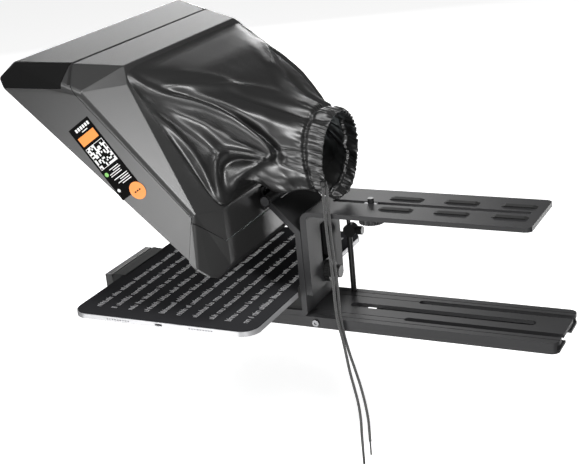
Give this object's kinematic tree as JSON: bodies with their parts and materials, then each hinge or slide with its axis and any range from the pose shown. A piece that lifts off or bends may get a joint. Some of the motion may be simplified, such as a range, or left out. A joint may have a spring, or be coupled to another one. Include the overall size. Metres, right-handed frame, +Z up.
{
  "type": "teleprompter",
  "caption": "Camera-mounted teleprompter: moulded hood with beam-splitting glass and gathered fabric sleeve, tablet in jaws, slotted rail and height-adjustable camera plate.",
  "frame": {"origin": "mouth of the tripod socket in the middle of the underside of the base rail", "axes": "+Z up, -Y towards the person being filmed, +Y towards the camera, X sideways with the camera screw, slots and hinge on or across X = 0"},
  "size_m": [0.3264, 0.5082, 0.4542],
  "materials": {
    "rail_metal": "satin black anodised",
    "bright_steel": "satin",
    "dark_steel": "black oxide",
    "moulded_black": "fine grain",
    "rubber": "matt",
    "jaw_plastic": "satin, ribbed",
    "knob_plastic": "satin",
    "knob_metal": "satin, fluted",
    "tablet_metal": "bead blasted",
    "screen_glass": "glossy cover glass, lit text",
    "hood_plastic": "satin, fine grain",
    "gloss_trim": "gloss",
    "splitter_glass": "beam-splitting coating",
    "sleeve_cloth": "satin coated cloth with a soft sheen",
    "cord": "braided",
    "cord_tip": "semi-gloss"
  },
  "bodies": {
    "base": {"base_rail": "rail_metal", "rail_side_screws": "bright_steel", "tripod_block": "rail_metal", "block_screws": "dark_steel", "support_bracket": "rail_metal", "bracket_screws": "dark_steel", "guide_key": "moulded_black", "rear_jaw_pad": "rubber", "strut_tube": "moulded_black", "strut_collar": "moulded_black"},
    "camera_stage": {"camera_plate": "rail_metal", "grip_strips": "rubber", "strut_rod": "dark_steel"},
    "screw_carriage": {"slot_washer": "bright_steel"},
    "camera_screw": {"camera_screw": "knob_metal"},
    "height_knob": {"height_lock_knob": "knob_plastic"},
    "strut_knob": {"strut_lock_knob": "knob_plastic"},
    "jaw": {"jaw_bar": "rail_metal", "front_jaw": "jaw_plastic", "front_jaw_pad": "rubber"},
    "jaw_screw": {"jaw_lock_screw": "bright_steel"},
    "tablet": {"tablet_body": "tablet_metal", "tablet_screen": "screen_glass"},
    "hood": {"hood_frame": "hood_plastic", "hood_body": "hood_plastic", "hood_lower_rim": "moulded_black", "trim_strip_left": "gloss_trim", "trim_strip_right": "gloss_trim", "beam_splitter_glass": "splitter_glass", "glass_gasket": "rubber", "sleeve_clamp_frame": "moulded_black", "sleeve_top_panel": "sleeve_cloth", "sleeve_left_panel": "sleeve_cloth", "sleeve_under_panel": "sleeve_cloth", "sleeve_right_panel": "sleeve_cloth", "cord_eyelet": "moulded_black", "hinge_leaf": "rail_metal", "leaf_screws": "dark_steel", "hinge_pin": "bright_steel"},
    "drawstrings": {"drawstring_a": "cord", "drawstring_b": "cord", "cord_tip_a": "cord_tip", "cord_tip_b": "cord_tip"}
  },
  "joints": [
    {"name": "height_slide", "type": "slide", "parent": "base", "child": "camera_stage", "axis": [0, 0, 1], "range_m": [-0.02, 0]},
    {"name": "screw_travel", "type": "slide", "parent": "camera_stage", "child": "screw_carriage", "axis": [0, 1, 0], "range_m": [-0.03, 0.145]},
    {"name": "screw_turn", "type": "hinge", "parent": "screw_carriage", "child": "camera_screw", "pos_m": [0, 0.051, 0.12], "axis": [0, 0, 1], "continuous": true},
    {"name": "height_knob_turn", "type": "hinge", "parent": "base", "child": "height_knob", "pos_m": [0, 0, 0.0485], "axis": [0, 1, 0], "continuous": true},
    {"name": "strut_knob_turn", "type": "hinge", "parent": "base", "child": "strut_knob", "pos_m": [-0.035, 0.02, 0.082], "axis": [0, 1, 0], "continuous": true},
    {"name": "jaw_slide", "type": "slide", "parent": "base", "child": "jaw", "axis": [0, -1, 0], "range_m": [0, 0.06]},
    {"name": "jaw_screw_turn", "type": "hinge", "parent": "jaw", "child": "jaw_screw", "pos_m": [0, -0.08, 0.003], "axis": [0, 0, 1], "continuous": true},
    {"name": "tablet_slide", "type": "slide", "parent": "base", "child": "tablet", "axis": [1, 0, 0], "range_m": [-0.04, 0.04]},
    {"name": "hood_tilt", "type": "hinge", "parent": "base", "child": "hood", "pos_m": [0, -0.047, 0.1363], "axis": [1, 0, 0], "range_deg": [0, 45]},
    {"name": "cords_hang", "type": "hinge", "parent": "hood", "child": "drawstrings", "pos_m": [0.0452, 0.0224, 0.157], "axis": [1, 0, 0], "range_deg": [-45, 0]}
  ],
  "couplings": [
    {"joint": "cords_hang", "follows": "hood_tilt", "ratio": -1}
  ]
}
